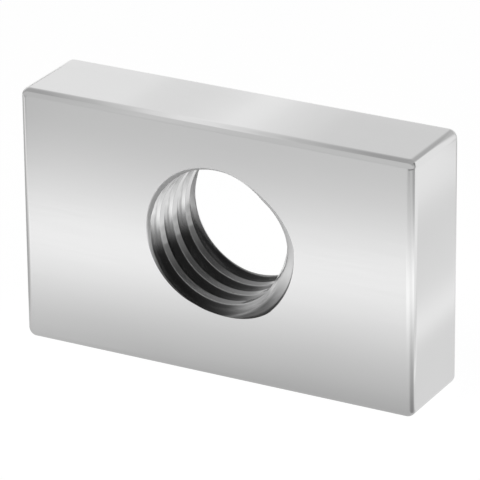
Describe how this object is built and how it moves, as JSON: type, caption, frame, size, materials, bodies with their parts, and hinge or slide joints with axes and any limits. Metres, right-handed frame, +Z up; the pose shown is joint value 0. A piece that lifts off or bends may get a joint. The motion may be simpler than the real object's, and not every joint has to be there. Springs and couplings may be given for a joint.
{
  "type": "slot nut",
  "caption": "Plain rectangular slot nut: a bright metal block with rounded edges and a coarse metric thread cut straight through its faces.",
  "frame": {"origin": "middle of the block", "axes": "+X along the nut, +Z up across its width, thread axis along Y with the front face at -Y; it stands on a long narrow side"},
  "size_m": [0.021, 0.0048, 0.013],
  "materials": {
    "bright_metal": "bright satin plating with faint lengthwise brushing"
  },
  "bodies": {
    "root": {"slot_nut_body": "bright_metal"}
  },
  "joints": []
}
